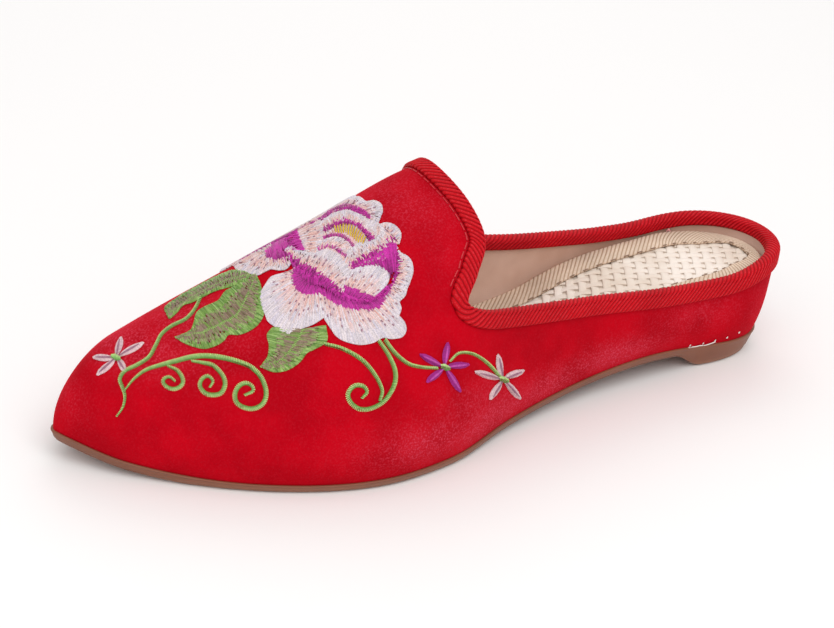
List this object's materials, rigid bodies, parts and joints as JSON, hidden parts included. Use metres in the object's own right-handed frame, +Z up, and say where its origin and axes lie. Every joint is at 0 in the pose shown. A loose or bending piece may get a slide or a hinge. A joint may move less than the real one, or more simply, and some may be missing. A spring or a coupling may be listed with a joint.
{
  "type": "backless loafer",
  "caption": "Pointed slip-on shoe with a low wall round the heel, a bound collar edge, a thick footbed and a thin sole with a low heel.",
  "frame": {"origin": "middle of the shoe's box in plan, on the ground", "axes": "+X from heel to toe, +Y to the outer side of the left foot, +Z up"},
  "size_m": [0.252, 0.0854, 0.079],
  "materials": {
    "rubber": "smooth moulded rubber",
    "velvet": "short pile velvet",
    "red_twill": "twill tape",
    "weave": "open basket weave",
    "beige_twill": "twill tape"
  },
  "bodies": {
    "root": {"outsole": "rubber", "upper": "velvet", "collar_binding": "red_twill", "insole": "weave", "insole_binding": "beige_twill"}
  },
  "joints": []
}
